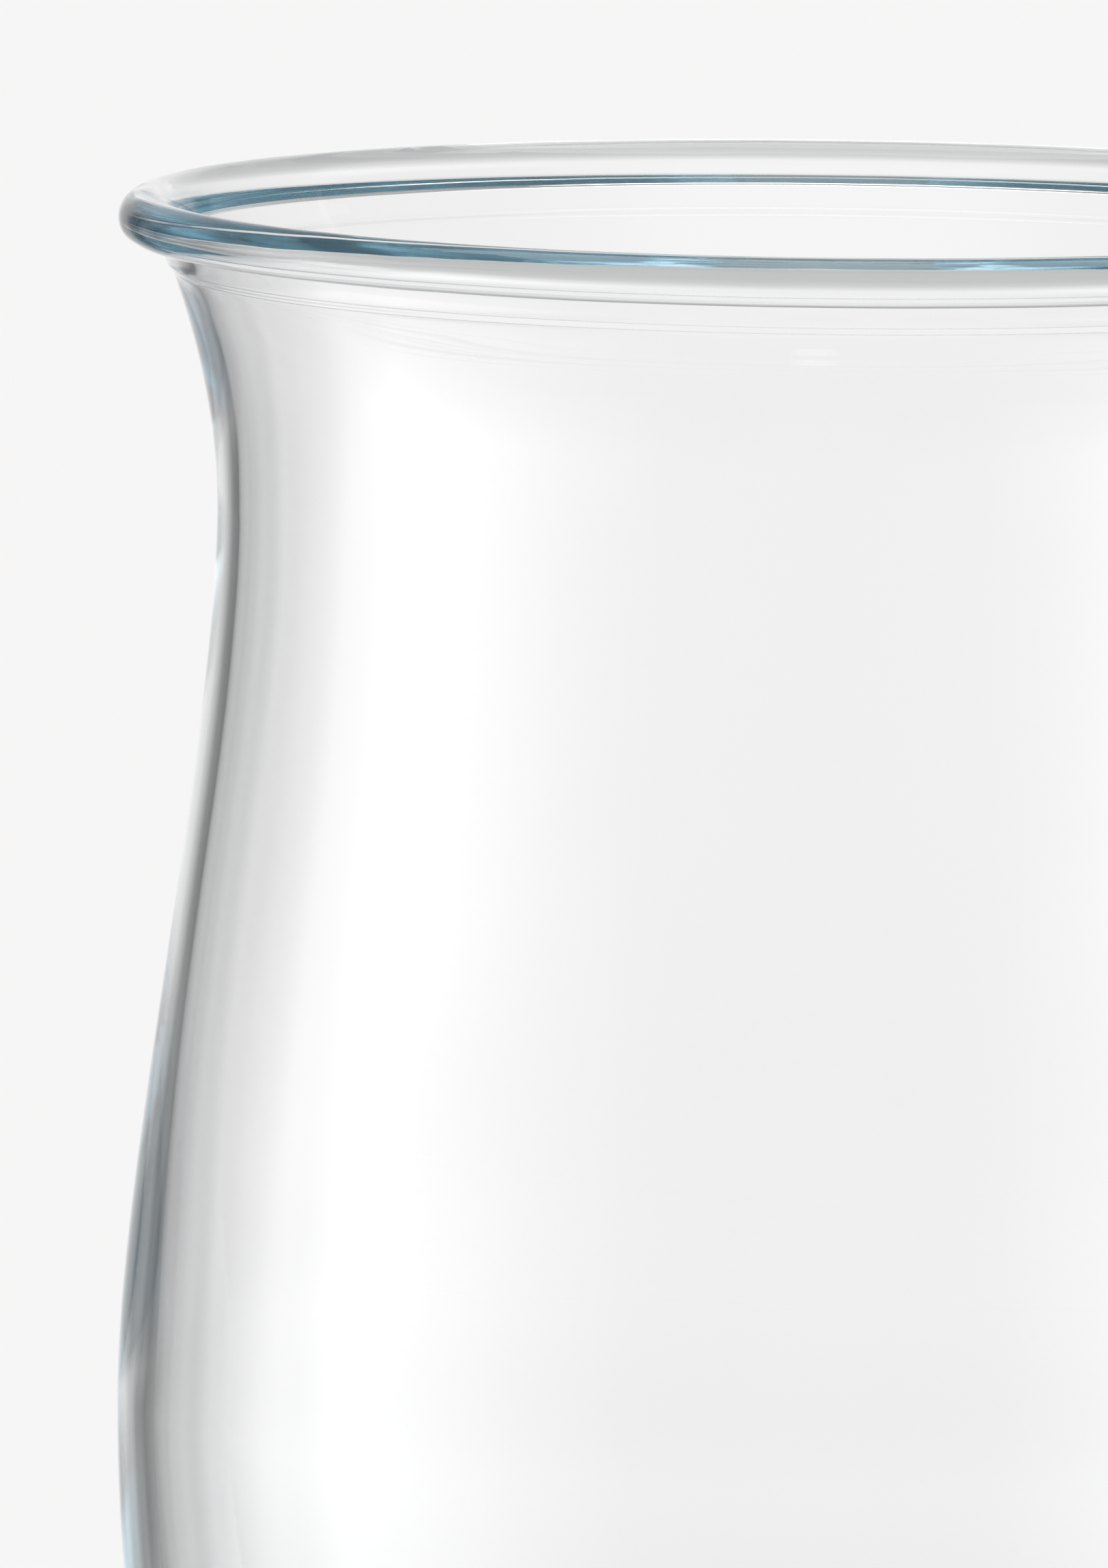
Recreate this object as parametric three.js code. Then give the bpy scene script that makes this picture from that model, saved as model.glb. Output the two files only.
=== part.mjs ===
// A champagne glass of clear glass: a tulip bowl with a flared lip and a round bead at its rim, a drawn stem
// and a round foot. The three pieces are fused to each other while hot, face to face.
// Millimetres, +Z up. The foot stands on z = 0, and the axis of the glass is the Z axis.
import * as THREE from 'three';

// Foot
const footRadius = 31.5;
const footEdgeThickness = 2.2;
const footHeight = 6;            // from the table to where the stem is fused on
const footJointRadius = 6.2;
const footJointAngle = 42;       // degrees that the surface rises at, where the foot meets the stem
const restingRingWidth = 3.4;    // flat ring that the glass stands on, up to the rounded edge
const footHollow = 0.9;          // how far the underside rises at the middle

// Stem
const stemLength = 79;
const stemWaistRadius = 3.5;
const stemWaistHeight = 34;      // above the foot's joint

// Bowl
const bowlJointRadius = 5.8;
const bowlJointAngle = 30;       // degrees that the surface rises at, where the bowl meets the stem
const bowlBaseHeight = 48.88;    // from the stem's joint up to the widest part
const bulgeRadius = 29.566;
const bulgeToNeck = 37.73;
const neckRadius = 25.675;
const neckToRim = 12.27;         // from the neck up to the middle of the bead
const rimRadius = 30;            // over the bead
const beadRadius = 1.125;
const beadStartAngle = -94;      // degrees round the bead from straight off the lip, at the crease below it
const beadEndAngle = 135;        // the same, where the bead begins to run into the inside of the wall
const creaseHeight = 0.28;       // from the collar up to the bead, through the crease
const lipAngle = 20;             // degrees that the lip leans out by, where it meets the bead
const lipSetBack = 0.39;         // from the middle line of the bead in to the outside of the lip
const collarProud = 0.15;        // how far the faint collar below the bead stands off the lip
const collarTop = 1.97;          // below the middle of the bead, along the lip
const collarFoot = 2.64;         // the same, where the collar has run out into the lip
const innerLipTop = 1.2;         // the same on the inside, where the bead has run out into the wall
const wallThickness = 0.98;      // at the neck and the lip
const bulgeWallThickness = 1.52;
const bowlFloorThickness = 3.6;  // glass between the inside of the bowl and the stem

// How far each curve reaches along its end tangents, as a share of the height that it spans
const stemWaistShare = 0.5;
const stemFlareShare = 0.09;
const baseToBulgeShare = 0.359;
const baseToJointShare = 0.44;
const innerBaseToBulgeShare = 0.34;
const innerBaseToFloorShare = 0.48;
const bulgeUpShare = 0.254;
const neckDownShare = 0.274;
const innerBulgeUpShare = 0.414;
const innerNeckDownShare = 0.308;
const neckUpShare = 0.169;
const lipDownShare = 0.37;
const innerNeckUpShare = 0.4;
const innerLipDownShare = 0.3;
const innerBeadShare = 0.333;    // of the distance that the inside of the bead runs down over
const footTopShare = 0.42;       // of the run from the foot's edge to its joint
const footSweepShare = 0.2;      // of the same run, at the joint's end
const footHollowShare = 0.55;    // of the resting ring's inner radius

// Height of the bead's underside, as a share of its radius
const beadUndersideShare = 0.86;

// Steps along the outlines and round the axis
const roundSteps = 48;
const curveSteps = 9;
const beadSteps = 12;
const edgeSteps = 6;

const at = (radius, height) => new THREE.Vector2(radius, height);
const radians = THREE.MathUtils.degToRad;
const heading = (degrees) => at(Math.cos(radians(degrees)), Math.sin(radians(degrees)));
const along = (point, direction, length) => point.clone().addScaledVector(direction, length);
const up = heading(90);
const down = heading(-90);
const outward = heading(0);
const inward = heading(180);

// A smooth run of an outline between two points, leaving and arriving along given directions
function run(from, leaving, reach, to, arriving, reachBack) {
  const curve = new THREE.CubicBezierCurve(
    from, along(from, leaving, reach), along(to, arriving, -reachBack), to);
  return curve.getPoints(curveSteps);
}

// An arc of an outline, with its angles in degrees
function arc(centre, radius, startDegrees, endDegrees, steps) {
  const curve = new THREE.EllipseCurve(
    centre.x, centre.y, radius, radius, radians(startDegrees), radians(endDegrees));
  return curve.getPoints(steps);
}

// Joins the runs of an outline, with each shared end kept once
function outline(...runs) {
  const points = runs.flat();
  return points.filter((point, i) => i === 0 || !point.equals(points[i - 1]));
}

// Turns an outline about the axis, from its low end on the axis, round the outside and back to the axis
function turned(name, points, material) {
  const geometry = new THREE.LatheGeometry(points, roundSteps);
  geometry.rotateX(Math.PI / 2);
  const mesh = new THREE.Mesh(geometry, material);
  mesh.name = name;
  return mesh;
}

const clearGlass = () => new THREE.MeshStandardMaterial({
  color: 0xeaf1f2, roughness: 0.02, metalness: 0, transparent: true, opacity: 0.35,
});

// The foot stands on a flat ring. Its underside is hollow inside it, and its top sweeps up to the stem.
function makeFoot() {
  const edgeRadius = footEdgeThickness / 2;
  const edgeCentre = at(footRadius - edgeRadius, edgeRadius);
  const ringInner = at(edgeCentre.x - restingRingWidth, 0);
  const hollowTop = at(0, footHollow);
  const hollowReach = ringInner.x * footHollowShare;
  const topOfEdge = at(edgeCentre.x, footEdgeThickness);
  const joint = at(footJointRadius, footHeight);
  const sweep = topOfEdge.x - joint.x;
  return turned('foot', outline(
    run(hollowTop, outward, hollowReach, ringInner, outward, 0),
    arc(edgeCentre, edgeRadius, -90, 90, edgeSteps),
    run(topOfEdge, inward, sweep * footTopShare,
      joint, heading(180 - footJointAngle), sweep * footSweepShare),
    [at(0, footHeight)],
  ), clearGlass());
}

// The stem narrows from its joint with the foot to its waist, and widens again to its joint with the bowl.
function makeStem() {
  const waist = at(stemWaistRadius, stemWaistHeight);
  const aboveWaist = stemLength - stemWaistHeight;
  return turned('stem', outline(
    [at(0, 0)],
    run(at(footJointRadius, 0), heading(180 - footJointAngle), stemWaistHeight * stemFlareShare,
      waist, up, stemWaistHeight * stemWaistShare),
    run(waist, up, aboveWaist * stemWaistShare,
      at(bowlJointRadius, stemLength), heading(bowlJointAngle), aboveWaist * stemFlareShare),
    [at(0, stemLength)],
  ), clearGlass());
}

// The bowl rises from its joint with the stem to the bulge, draws in at the neck and flares to the bead. The
// wall is thinnest at the neck and the lip and thickens towards the floor. A faint collar stands below the
// bead, whose underside is slightly flattened, and the inside runs smoothly into the bead.
function makeBowl() {
  const joint = at(bowlJointRadius, 0);
  const bulge = at(bulgeRadius, bowlBaseHeight);
  const neck = at(neckRadius, bulge.y + bulgeToNeck);
  const bead = at(rimRadius - beadRadius, neck.y + neckToRim);
  const innerBulge = bulge.clone().sub(at(bulgeWallThickness, 0));
  const innerNeck = neck.clone().sub(at(wallThickness, 0));
  const floor = at(0, bowlFloorThickness);
  const innerDepth = bulge.y - floor.y;

  const upLip = heading(90 - lipAngle);
  const downLip = heading(-90 - lipAngle);
  const offLip = heading(-lipAngle);
  const onBead = (off, rise) => along(along(bead, offLip, off), upLip, rise);
  const beadArc = [];
  for (let i = 0; i <= beadSteps; i += 1) {
    const angle = radians(beadStartAngle + (beadEndAngle - beadStartAngle) * i / beadSteps);
    const rise = beadRadius * Math.sin(angle);
    beadArc.push(onBead(beadRadius * Math.cos(angle), rise < 0 ? rise * beadUndersideShare : rise));
  }
  const beadFoot = beadRadius * beadUndersideShare;
  const lipOuter = onBead(-lipSetBack, -collarFoot);
  const collar = [
    onBead(collarProud - lipSetBack, -collarTop),
    onBead(collarProud - lipSetBack, -beadFoot - creaseHeight),
  ];
  const lipInner = onBead(-lipSetBack - wallThickness, -innerLipTop);
  const beadEnd = beadArc.at(-1);
  const beadReach = beadEnd.distanceTo(lipInner) * innerBeadShare;
  return turned('bowl', outline(
    [at(0, 0)],
    run(joint, heading(bowlJointAngle), bulge.y * baseToJointShare, bulge, up, bulge.y * baseToBulgeShare),
    run(bulge, up, bulgeToNeck * bulgeUpShare, neck, up, bulgeToNeck * neckDownShare),
    run(neck, up, neckToRim * neckUpShare, lipOuter, upLip, neckToRim * lipDownShare),
    collar,
    beadArc,
    run(beadEnd, heading(90 + beadEndAngle - lipAngle), beadReach, lipInner, downLip, beadReach),
    run(lipInner, downLip, neckToRim * innerLipDownShare,
      innerNeck, down, neckToRim * innerNeckUpShare),
    run(innerNeck, down, bulgeToNeck * innerNeckDownShare,
      innerBulge, down, bulgeToNeck * innerBulgeUpShare),
    run(innerBulge, down, innerDepth * innerBaseToBulgeShare,
      floor, inward, innerDepth * innerBaseToFloorShare),
  ), clearGlass());
}

const foot = makeFoot();
const stem = makeStem();
stem.position.z = footHeight;
const bowl = makeBowl();
bowl.position.z = footHeight + stemLength;

const glass = new THREE.Group();
glass.add(foot, stem, bowl);

export default glass;
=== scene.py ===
import math
import bpy
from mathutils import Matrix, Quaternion, Vector


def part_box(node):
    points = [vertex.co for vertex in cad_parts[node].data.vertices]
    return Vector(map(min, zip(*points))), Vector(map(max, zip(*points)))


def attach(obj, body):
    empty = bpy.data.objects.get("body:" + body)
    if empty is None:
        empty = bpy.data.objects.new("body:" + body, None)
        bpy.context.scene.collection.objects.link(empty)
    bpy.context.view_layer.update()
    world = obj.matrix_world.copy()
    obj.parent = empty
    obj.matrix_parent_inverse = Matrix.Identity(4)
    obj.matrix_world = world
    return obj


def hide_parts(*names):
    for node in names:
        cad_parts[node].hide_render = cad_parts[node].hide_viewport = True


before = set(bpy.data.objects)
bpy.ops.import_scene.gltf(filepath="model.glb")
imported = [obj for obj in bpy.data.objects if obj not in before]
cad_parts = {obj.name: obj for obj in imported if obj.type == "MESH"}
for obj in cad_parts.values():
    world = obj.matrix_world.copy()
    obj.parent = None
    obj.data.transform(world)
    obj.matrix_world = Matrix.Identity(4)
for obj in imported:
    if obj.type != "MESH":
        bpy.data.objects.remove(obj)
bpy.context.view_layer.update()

# Foot: a round plate of clear glass, pressed and then spun flat while hot. It stands on a flat ring near
# its rounded edge. Its underside is hollow inside that ring, and its top sweeps up to the stem.
foot_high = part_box("foot")[1]
foot_radius = foot_high.x
foot_height = foot_high.z
foot_edge_thickness = 0.0022
foot_joint_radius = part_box("stem")[1].x
foot_joint_angle = 42
resting_ring_width = 0.0034
foot_hollow = 0.0009
foot_top_share = 0.42
foot_sweep_share = 0.2
foot_hollow_share = 0.55
hollow_steps = 20
ring_steps = 3
edge_steps = 14
foot_top_steps = 32


def heading(degrees):
    """A step of length 1 in (radius, height), at an angle from straight outward."""
    return Vector((math.cos(math.radians(degrees)), math.sin(math.radians(degrees))))


def run(start, leaving, reach, end, arriving, reach_back, steps):
    """A smooth run of an outline in (radius, height), from start up to the step before end."""
    a = start + heading(leaving) * reach
    b = end - heading(arriving) * reach_back
    points = []
    for i in range(steps):
        t = i / steps
        u = 1 - t
        points.append(start * u**3 + a * 3 * u * u * t + b * 3 * u * t * t + end * t**3)
    return points


def arc(centre, radius, start, end, steps):
    """An arc of an outline, from the start angle up to the step before the end angle, in degrees."""
    return [centre + heading(start + (end - start) * i / steps) * radius for i in range(steps)]


edge_radius = foot_edge_thickness / 2
edge_centre = Vector((foot_radius - edge_radius, edge_radius))
ring_inner = Vector((edge_centre.x - resting_ring_width, 0))
hollow_top = Vector((0, foot_hollow))
top_of_edge = Vector((edge_centre.x, foot_edge_thickness))
foot_joint = Vector((foot_joint_radius, foot_height))
foot_sweep = top_of_edge.x - foot_joint.x
foot_outline = (
    run(hollow_top, 0, ring_inner.x * foot_hollow_share, ring_inner, 0, 0, hollow_steps)
    + run(ring_inner, 0, 0, Vector((edge_centre.x, 0)), 0, 0, ring_steps)
    + arc(edge_centre, edge_radius, -90, 90, edge_steps)
    + run(top_of_edge, 180, foot_sweep * foot_top_share,
          foot_joint, 180 - foot_joint_angle, foot_sweep * foot_sweep_share, foot_top_steps)
)

# Stem: a slim rod of clear glass, drawn out while hot. It is thinnest at its waist, below the middle, and
# widens at both ends, where it runs into the foot and the bowl without a seam.
bowl_low, bowl_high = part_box("bowl")
bowl_joint_radius = 0.0058
bowl_joint_angle = 30
stem_waist_radius = 0.0035
stem_waist_height = 0.034
stem_waist_share = 0.5
stem_flare_share = 0.09
below_waist_steps = 32
above_waist_steps = 36

bowl_joint = Vector((bowl_joint_radius, bowl_low.z))
stem_waist = Vector((stem_waist_radius, foot_height + stem_waist_height))
below_waist = stem_waist.y - foot_height
above_waist = bowl_joint.y - stem_waist.y
stem_outline = (
    run(foot_joint, 180 - foot_joint_angle, below_waist * stem_flare_share,
        stem_waist, 90, below_waist * stem_waist_share, below_waist_steps)
    + run(stem_waist, 90, above_waist * stem_waist_share,
          bowl_joint, bowl_joint_angle, above_waist * stem_flare_share, above_waist_steps)
)

# Bowl: a thin blown tulip of clear glass. It swells to the bulge, draws in at the neck and flares to the
# rim, whose cut edge is melted into a round bead. Glass that ran back from it left a faint collar below.
bead_radius = 0.001125
neck_radius = 0.025675
neck_to_bead = 0.01227
bulge_radius = 0.029566
bulge_to_neck = 0.037727
lip_angle = 20
neck_wall_thickness = 0.00098
bulge_wall_thickness = 0.00152
lip_wall_thickness = 0.0008
bowl_floor_thickness = 0.0036
lip_set_back = 0.00039
collar_proud = 0.00015
collar_top = 0.00197
collar_foot = 0.00264
crease_height = 0.00028
bead_underside_share = 0.86
bead_start_angle = -94
bead_end_angle = 135
inner_lip_top = 0.0007
base_to_joint_share = 0.44
base_to_bulge_share = 0.359
inner_base_to_floor_share = 0.48
inner_base_to_bulge_share = 0.34
bulge_up_share = 0.254
neck_down_share = 0.274
inner_bulge_up_share = 0.414
inner_neck_down_share = 0.308
neck_up_share = 0.169
lip_down_share = 0.37
inner_neck_up_share = 0.4
inner_lip_down_share = 0.3
inner_bead_share = 1 / 3
wall_steps = 40
lip_steps = 24
collar_steps = 10
collar_face_steps = 3
crease_steps = 8
bead_steps = 44
inner_bead_steps = 10

bead = Vector((bowl_high.x - bead_radius, bowl_high.z - bead_radius))
neck = Vector((neck_radius, bead.y - neck_to_bead))
bulge = Vector((bulge_radius, neck.y - bulge_to_neck))
bowl_floor = Vector((0, bowl_joint.y + bowl_floor_thickness))
inner_neck = neck - Vector((neck_wall_thickness, 0))
inner_bulge = bulge - Vector((bulge_wall_thickness, 0))
bowl_base = bulge.y - bowl_joint.y
inner_base = bulge.y - bowl_floor.y
middle = neck.y - bulge.y
lip = bead.y - neck.y
lip_heading = 90 - lip_angle
up_lip = heading(lip_heading)
off_lip = heading(-lip_angle)

# The bead sits on the collar, with a small concave round in the crease between them. It is slightly
# flattened below its middle, and inside it runs into the wall without a crease.
lip_outer = bead - off_lip * lip_set_back - up_lip * collar_foot
collar_outer = bead - off_lip * (lip_set_back - collar_proud) - up_lip * collar_top
collar_reach = (collar_foot - collar_top) / 2


def on_bead(angle):
    """A point of the bead's outline, at an angle from straight off the lip, and the heading there."""
    height = bead_underside_share if math.sin(math.radians(angle)) < 0 else 1
    off, up = math.cos(math.radians(angle)), math.sin(math.radians(angle))
    point = bead + (off_lip * off + up_lip * up * height) * bead_radius
    return point, math.degrees(math.atan2(off * height, -up)) - lip_angle


bead_start, bead_start_heading = on_bead(bead_start_angle)
bead_end, bead_end_heading = on_bead(bead_end_angle)
under_bead = bead_start - off_lip * ((bead_start - bead).dot(off_lip) + lip_set_back - collar_proud)
under_bead -= up_lip * crease_height
crease_reach = crease_height / 2
bead_points = [on_bead(bead_start_angle + (bead_end_angle - bead_start_angle) * i / bead_steps)[0]
               for i in range(bead_steps)]
lip_inner = bead - off_lip * (lip_set_back + lip_wall_thickness) - up_lip * inner_lip_top
inner_bead_reach = (bead_end - lip_inner).length * inner_bead_share
bowl_outline = (
    run(bowl_joint, bowl_joint_angle, bowl_base * base_to_joint_share,
        bulge, 90, bowl_base * base_to_bulge_share, wall_steps)
    + run(bulge, 90, middle * bulge_up_share, neck, 90, middle * neck_down_share, wall_steps)
    + run(neck, 90, lip * neck_up_share, lip_outer, lip_heading, lip * lip_down_share, lip_steps)
    + run(lip_outer, lip_heading, collar_reach, collar_outer, lip_heading, collar_reach, collar_steps)
    + run(collar_outer, lip_heading, 0, under_bead, lip_heading, 0, collar_face_steps)
    + run(under_bead, lip_heading, crease_reach, bead_start, bead_start_heading, crease_reach, crease_steps)
    + bead_points
    + run(bead_end, bead_end_heading, inner_bead_reach,
          lip_inner, lip_heading - 180, inner_bead_reach, inner_bead_steps)
    + run(lip_inner, lip_heading - 180, lip * inner_lip_down_share,
          inner_neck, -90, lip * inner_neck_up_share, lip_steps)
    + run(inner_neck, -90, middle * inner_neck_down_share,
          inner_bulge, -90, middle * inner_bulge_up_share, wall_steps)
    + run(inner_bulge, -90, inner_base * inner_base_to_bulge_share,
          bowl_floor, 180, inner_base * inner_base_to_floor_share, wall_steps)
    + [bowl_floor]
)

# Fused glass: the foot, stem and bowl are melted together while hot, so the finished glass is one skin,
# with nothing to see at the joints. Its outline is turned about the axis, with the faint ripple of
# hand-worked glass.
ripple_starts_at = 0.001
ripple_full_at = 0.004
bead_ripple_reach = 0.003
bead_seed_shift = 7.0
seam_distance = 1e-6
glass_ior = 1.52
tint_colour = (0.1, 0.44, 0.56, 1.0)
tint_density = 8.0

turned = bpy.data.node_groups.new("turned_glass", "GeometryNodeTree")
turned_in = {
    name: turned.interface.new_socket(name, in_out="INPUT", socket_type=kind).identifier
    for name, kind in (
        ("Outline", "NodeSocketGeometry"),
        ("Steps Round", "NodeSocketInt"),
        ("Ripple Depth", "NodeSocketFloat"),
        ("Ripple Size", "NodeSocketFloat"),
        ("Bead Ripple Depth", "NodeSocketFloat"),
        ("Bead Ripple Size", "NodeSocketFloat"),
        ("Bead Height", "NodeSocketFloat"),
        ("Seed", "NodeSocketFloat"),
        ("Glass", "NodeSocketMaterial"),
    )
}
turned.interface.new_socket("Glass Skin", in_out="OUTPUT", socket_type="NodeSocketGeometry")


def place(tree, kind, inputs=(), **settings):
    """Places a node with its settings, and gives its inputs their values or links them to sockets."""
    node = tree.nodes.new(kind)
    for name, value in settings.items():
        setattr(node, name, value)
    for name, value in dict(inputs).items():
        if isinstance(value, bpy.types.NodeSocket):
            tree.links.new(value, node.inputs[name])
        else:
            node.inputs[name].default_value = value
    return node


def sum_up(tree, operation, a, b):
    """The output of a Math node."""
    return place(tree, "ShaderNodeMath", {0: a, 1: b}, operation=operation).outputs[0]


def whereabouts():
    """The position of each point of the glass, in the turning."""
    return place(turned, "GeometryNodeInputPosition").outputs[0]


given = turned.nodes.new("NodeGroupInput").outputs
outline_size = place(turned, "GeometryNodeAttributeDomainSize", {"Geometry": given["Outline"]})
grid = place(turned, "GeometryNodeMeshGrid", {
    "Size X": 1.0, "Size Y": 1.0,
    "Vertices X": outline_size.outputs["Point Count"],
    "Vertices Y": sum_up(turned, "ADD", given["Steps Round"], 1.0),
})
on_grid = place(turned, "ShaderNodeSeparateXYZ", {0: whereabouts()})
last_point = sum_up(turned, "SUBTRACT", outline_size.outputs["Point Count"], 1.0)
along = sum_up(turned, "MULTIPLY", sum_up(turned, "ADD", on_grid.outputs["X"], 0.5), last_point)
outline_point = place(turned, "GeometryNodeSampleIndex", {
    "Geometry": given["Outline"],
    "Value": whereabouts(),
    "Index": sum_up(turned, "ROUND", along, 0.0),
}, data_type="FLOAT_VECTOR")
swung = place(turned, "ShaderNodeVectorRotate", {
    "Vector": outline_point.outputs["Value"],
    "Angle": sum_up(turned, "MULTIPLY", on_grid.outputs["Y"], -math.tau),
}, rotation_type="Z_AXIS")
skin = place(turned, "GeometryNodeSetPosition", {
    "Geometry": grid.outputs["Mesh"], "Position": swung.outputs[0]})
closed = place(turned, "GeometryNodeMergeByDistance", {
    "Geometry": skin.outputs[0], "Distance": seam_distance})


def ripple(depth, size, seed_shift):
    """How far the skin draws in at each point: from nothing to the depth, in soft waves of the size."""
    noise = place(turned, "ShaderNodeTexNoise", {
        "Vector": whereabouts(),
        "W": sum_up(turned, "ADD", given["Seed"], seed_shift),
        "Scale": sum_up(turned, "DIVIDE", 1.0, size),
        "Detail": 1.0,
    }, noise_dimensions="4D")
    return sum_up(turned, "MULTIPLY", noise.outputs[0], depth)


height = place(turned, "ShaderNodeSeparateXYZ", {0: whereabouts()}).outputs["Z"]
off_table = place(turned, "ShaderNodeMapRange", {
    "Value": height, "From Min": ripple_starts_at, "From Max": ripple_full_at})
near_bead = place(turned, "ShaderNodeMapRange", {
    "Value": height,
    "From Min": sum_up(turned, "SUBTRACT", given["Bead Height"], bead_ripple_reach),
    "From Max": given["Bead Height"],
})
body_ripple = ripple(given["Ripple Depth"], given["Ripple Size"], 0.0)
bead_ripple = ripple(given["Bead Ripple Depth"], given["Bead Ripple Size"], bead_seed_shift)
drawn_in = sum_up(turned, "ADD",
                  sum_up(turned, "MULTIPLY", body_ripple, off_table.outputs[0]),
                  sum_up(turned, "MULTIPLY", bead_ripple, near_bead.outputs[0]))
inward = place(turned, "ShaderNodeVectorMath", {
    0: place(turned, "GeometryNodeInputNormal").outputs[0],
    "Scale": sum_up(turned, "MULTIPLY", drawn_in, -1.0),
}, operation="SCALE")
worked = place(turned, "GeometryNodeSetPosition", {
    "Geometry": closed.outputs[0], "Offset": inward.outputs[0]})
smooth = place(turned, "GeometryNodeSetShadeSmooth", {"Geometry": worked.outputs[0]})
real = place(turned, "GeometryNodeRealizeInstances", {"Geometry": smooth.outputs[0]})
finished = place(turned, "GeometryNodeSetMaterial", {
    "Geometry": real.outputs[0], "Material": given["Glass"]})
place(turned, "NodeGroupOutput", {0: finished.outputs[0]})

worked_glass = bpy.data.materials.new("worked_glass")
worked_glass.use_nodes = True
glass_nodes = worked_glass.node_tree
glass_shader = glass_nodes.nodes["Principled BSDF"]
glass_shader.inputs["Base Color"].default_value = (1.0, 1.0, 1.0, 1.0)
glass_shader.inputs["Roughness"].default_value = 0.0
glass_shader.inputs["IOR"].default_value = glass_ior
glass_shader.inputs["Transmission Weight"].default_value = 1.0
tint = glass_nodes.nodes.new("ShaderNodeVolumeAbsorption")
tint.inputs["Color"].default_value = tint_colour
tint.inputs["Density"].default_value = tint_density
glass_nodes.links.new(tint.outputs[0], glass_nodes.nodes["Material Output"].inputs["Volume"])

outline = foot_outline + stem_outline + bowl_outline
outline_mesh = bpy.data.meshes.new("outline")
outline_mesh.from_pydata(
    [(p.x, 0, p.y) for p in outline], [(i, i + 1) for i in range(len(outline) - 1)], [])
turning = bpy.data.objects.new("turning", outline_mesh)
bpy.context.scene.collection.objects.link(turning)
modifier = turning.modifiers.new("turned", "NODES")
modifier.node_group = turned
for name, value in (
    ("Steps Round", 224),
    ("Ripple Depth", 0.00002),
    ("Ripple Size", 0.02),
    ("Bead Ripple Depth", 0.00004),
    ("Bead Ripple Size", 0.003),
    ("Bead Height", bead.y),
    ("Seed", 4.0),
    ("Glass", worked_glass),
):
    modifier[turned_in[name]] = value
bpy.context.view_layer.update()
whole = turning.evaluated_get(bpy.context.evaluated_depsgraph_get())
glass_mesh = bpy.data.meshes.new_from_object(whole)
bpy.data.objects.remove(turning)
glass = bpy.data.objects.new("glass", glass_mesh)
bpy.context.scene.collection.objects.link(glass)
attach(glass, "root")
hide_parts("foot", "stem", "bowl")

# Floor: a plain pale sweep of matt board. It takes the shadow near the glass, and further out it turns into
# the white of the backdrop, so that no edge of it shows.
floor_radius = 12.0
floor_steps = 96
floor_drop = 0.0001
floor_pale_up_to = 0.25
floor_white_from = 0.85
floor_pale = (0.6, 0.6, 0.6, 1.0)
backdrop_white = (0.93, 0.92, 0.92, 1.0)
floor_mesh = bpy.data.meshes.new("floor")
floor_mesh.from_pydata(
    [(floor_radius * math.cos(math.tau * i / floor_steps),
      floor_radius * math.sin(math.tau * i / floor_steps), -floor_drop) for i in range(floor_steps)],
    [], [list(range(floor_steps))])
floor = bpy.data.objects.new("floor", floor_mesh)
bpy.context.scene.collection.objects.link(floor)
sweep = bpy.data.materials.new("pale_sweep")
sweep.use_nodes = True
floor_mesh.materials.append(sweep)
sweep_nodes = sweep.node_tree
sweep_nodes.nodes.clear()
from_glass = place(sweep_nodes, "ShaderNodeVectorMath", {
    0: place(sweep_nodes, "ShaderNodeTexCoord").outputs["Object"]}, operation="LENGTH")
fade = place(sweep_nodes, "ShaderNodeMapRange", {
    "Value": from_glass.outputs["Value"], "From Min": floor_pale_up_to, "From Max": floor_white_from,
}, interpolation_type="SMOOTHSTEP")
matt = place(sweep_nodes, "ShaderNodeBsdfDiffuse", {"Color": floor_pale})
white = place(sweep_nodes, "ShaderNodeEmission", {"Color": backdrop_white, "Strength": 1.0})
blend = place(sweep_nodes, "ShaderNodeMixShader", {
    0: fade.outputs[0], 1: matt.outputs[0], 2: white.outputs[0]})
place(sweep_nodes, "ShaderNodeOutputMaterial", {"Surface": blend.outputs[0]})

# Studio boards that only the glass shows. On each side stand a dark flag, with its foot bent forward over
# the floor and a dim flag above it, and a softbox, with a shade above it. They draw the dark edges and the
# soft white bands of the glass. A small lamp before the glass gives it one faint highlight.
spread_step = 2


def board_face(name, seen_through):
    """The glowing face of a board. One that isn't seen through the glass shows only in its reflections."""
    face = bpy.data.materials.new(name)
    face.use_nodes = True
    face.cycles.emission_sampling = "NONE"
    face_nodes = face.node_tree
    face_nodes.nodes.clear()
    glow = place(face_nodes, "ShaderNodeAttribute", attribute_name="glow")
    surface = place(face_nodes, "ShaderNodeEmission", {"Strength": glow.outputs["Fac"]})
    if not seen_through:
        path = place(face_nodes, "ShaderNodeLightPath").outputs
        reflected = sum_up(face_nodes, "GREATER_THAN", path["Glossy Depth"], 0.5)
        clear = place(face_nodes, "ShaderNodeBsdfTransparent")
        surface = place(face_nodes, "ShaderNodeMixShader", {
            0: reflected, 1: clear.outputs[0], 2: surface.outputs[0]})
    place(face_nodes, "ShaderNodeOutputMaterial", {"Surface": surface.outputs[0]})
    return face


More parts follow.
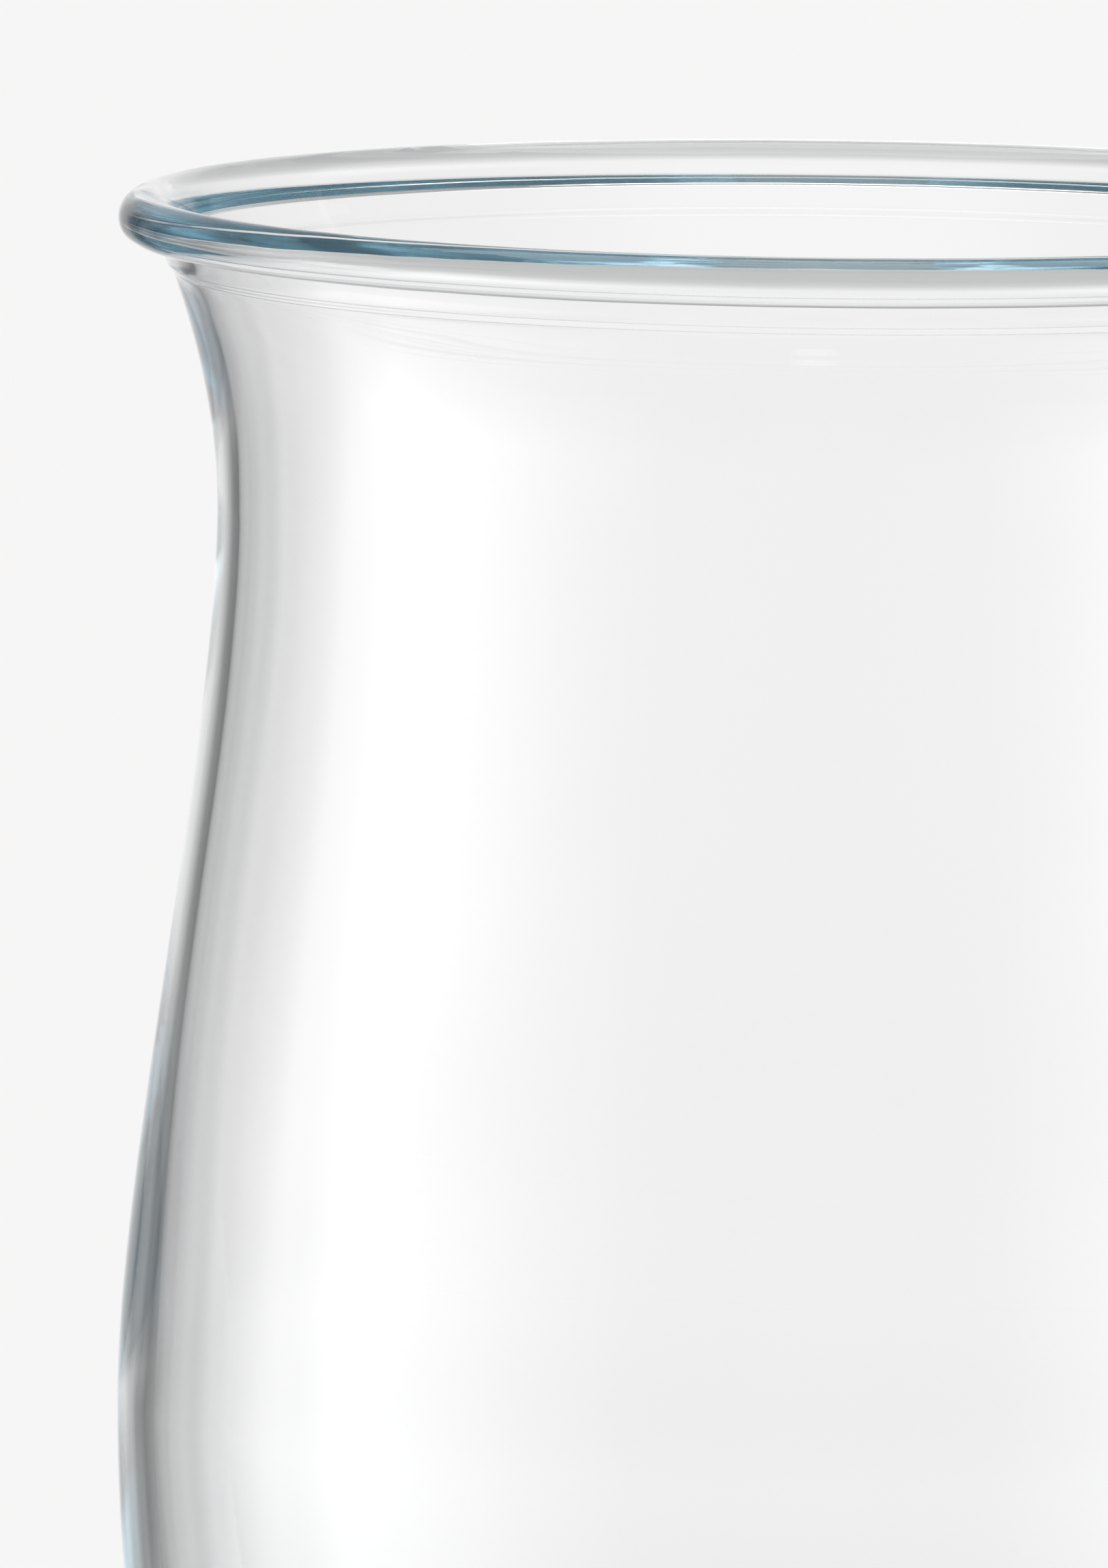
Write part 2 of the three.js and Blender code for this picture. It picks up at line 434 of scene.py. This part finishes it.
def stand_board(name, side, face, profile, glows):
    """A board bent round the glass. Its profile holds (distance, height) pairs from its foot up. Its glows
    go by direction, in degrees off the middle of the backdrop, with one for each pair of the profile."""
    places, levels = [], []
    for direction, column in glows:
        turn = math.radians(90 - side * direction)
        for (distance, z), level in zip(profile, column):
            places.append((distance * math.cos(turn), distance * math.sin(turn), z))
            levels.append(level)
    rows = len(profile)
    mesh = bpy.data.meshes.new(name)
    mesh.from_pydata(places, [], [
        (c * rows + r, (c + 1) * rows + r, (c + 1) * rows + r + 1, c * rows + r + 1)
        for c in range(len(glows) - 1) for r in range(rows - 1)])
    mesh.attributes.new("glow", "FLOAT", "POINT").data.foreach_set("value", levels)
    mesh.materials.append(face)
    board = bpy.data.objects.new(name, mesh)
    bpy.context.scene.collection.objects.link(board)
    board.visible_camera = False
    board.visible_diffuse = False
    board.visible_shadow = False


def spread(stops, above, below=()):
    """The glows of a board between (direction, glow) stops. It fades to other glows above and below them."""
    glows = []
    for (start, first), (end, last) in zip(stops, stops[1:]):
        steps = max(1, round((end - start) / spread_step))
        for i in range(steps):
            level = first + (last - first) * i / steps
            glows.append((start + (end - start) * i / steps, (*below, level, level, *above)))
    glows.append((stops[-1][0], (*below, stops[-1][1], stops[-1][1], *above)))
    return glows


flag_profile = ((0.3, 0.0005), (0.6, 0.0005), (0.6, 0.26), (0.6, 0.31))
flag_stops = ((10, 0.92), (16, 0.74), (22, 0.62), (26, 0.24), (31, 0.13), (36, 0.38), (42, 0.18),
              (50, 0.34), (60, 0.34), (71, 0.55))
high_flag_profile = ((0.6, 0.31), (0.6, 0.4), (0.6, 0.58), (0.6, 1.1))
high_flag_stops = ((0, 0.88), (12, 0.6), (24, 0.48), (71, 0.48))
softbox_profile = ((0.3, 0), (0.3, 0.03), (0.3, 0.25), (0.3, 0.3))
softbox_stops = ((66, 0.45), (70, 0.6), (75, 0.95), (81, 1.7), (90, 1.75), (112, 1.45), (122, 1.15),
                 (136, 0.85), (150, 0.7), (180, 0.66))
shade_profile = ((0.3, 0.3), (0.3, 0.42), (0.3, 0.75))
shade_stops = ((66, 0.35), (110, 0.4), (130, 0.6), (150, 0.9), (180, 0.95))
small_lamp_profile = ((0.295, 0.235), (0.295, 0.243))
small_lamp_glows = [(173, (1, 1)), (176, (1.8, 1.8)), (180, (1.8, 1.8)), (183, (1, 1))]
flag_glows = spread(flag_stops, above=(0.5,), below=(0.48,))
high_flag_glows = spread(high_flag_stops, above=(0.35, 0.2))
softbox_glows = spread(softbox_stops, above=(0.7,), below=(0.6,))
shade_glows = spread(shade_stops, above=(0.4,))
flag_face = board_face("flag_face", seen_through=True)
softbox_face = board_face("softbox_face", seen_through=False)
for side, hand in ((-1, "left"), (1, "right")):
    stand_board("flag_" + hand, side, flag_face, flag_profile, flag_glows)
    stand_board("high_flag_" + hand, side, flag_face, high_flag_profile, high_flag_glows)
    stand_board("softbox_" + hand, side, softbox_face, softbox_profile, softbox_glows)
    stand_board("shade_" + hand, side, softbox_face, shade_profile, shade_glows)
stand_board("small_lamp", 1, softbox_face, small_lamp_profile, small_lamp_glows)

# Light: one large soft lamp overhead in a plain room. The camera and the glass see the room as the white
# backdrop, and the floor is lit by it as by grey walls.
room_grey = (0.65, 0.65, 0.65, 1.0)
lamp_size = 0.9
lamp_brightness = 1.3
lamp_place = (0, 0.1, 1.0)

world = bpy.data.worlds.new("white_room")
bpy.context.scene.world = world
world.use_nodes = True
world_nodes = world.node_tree
world_nodes.nodes.clear()
ray = place(world_nodes, "ShaderNodeLightPath").outputs
by_glass = sum_up(world_nodes, "MAXIMUM", ray["Is Glossy Ray"], ray["Is Transmission Ray"])
seen = sum_up(world_nodes, "MAXIMUM", ray["Is Camera Ray"], by_glass)
room = place(world_nodes, "ShaderNodeBackground", {"Color": room_grey, "Strength": 1.0})
backdrop = place(world_nodes, "ShaderNodeBackground", {"Color": backdrop_white, "Strength": 1.0})
world_mix = place(world_nodes, "ShaderNodeMixShader", {0: seen, 1: room.outputs[0], 2: backdrop.outputs[0]})
place(world_nodes, "ShaderNodeOutputWorld", {"Surface": world_mix.outputs[0]})

lamp_data = bpy.data.lights.new("overhead_softbox", "AREA")
lamp_data.shape = "SQUARE"
lamp_data.size = lamp_size
lamp_data.energy = lamp_brightness * math.pi * lamp_size**2
lamp = bpy.data.objects.new("overhead_softbox", lamp_data)
bpy.context.scene.collection.objects.link(lamp)
lamp.location = lamp_place
lamp.visible_camera = False

# Camera: a little above the rim and aimed at the upper left of the bowl, as the photograph is. Its long lens
# is worked out from its focal length in pixels of the photograph.
picture_height = 2296
rim_elevation = math.radians(5.017)
camera_distance = 0.9513
camera_yaw = math.radians(-0.6811)
camera_pitch = math.radians(-6.4551)
camera_roll = math.radians(0.6537)
focal_pixels = 32922.8
nearest = 0.05
furthest = 100.0
camera_data = bpy.data.cameras.new("camera")
camera_data.lens = focal_pixels / picture_height * camera_data.sensor_width
camera_data.clip_start = nearest
camera_data.clip_end = furthest
camera = bpy.data.objects.new("camera", camera_data)
bpy.context.scene.collection.objects.link(camera)
bpy.context.scene.camera = camera
camera.location = (
    0,
    -camera_distance * math.cos(rim_elevation),
    bead.y + camera_distance * math.sin(rim_elevation),
)
look = Vector((math.sin(camera_yaw) * math.cos(camera_pitch), math.cos(camera_yaw) * math.cos(camera_pitch),
               math.sin(camera_pitch)))
aim = look.to_track_quat("-Z", "Y")
camera.rotation_mode = "QUATERNION"
camera.rotation_quaternion = aim @ Quaternion((0, 0, 1), camera_roll)

# Light runs along inside the wall of the glass and comes out at the bead, so it is followed a long way.
glass_bounces = 512
floor_bounces = 4
scene = bpy.context.scene
scene.view_settings.view_transform = "Standard"
scene.cycles.max_bounces = glass_bounces
scene.cycles.transmission_bounces = glass_bounces
scene.cycles.glossy_bounces = glass_bounces
scene.cycles.diffuse_bounces = floor_bounces
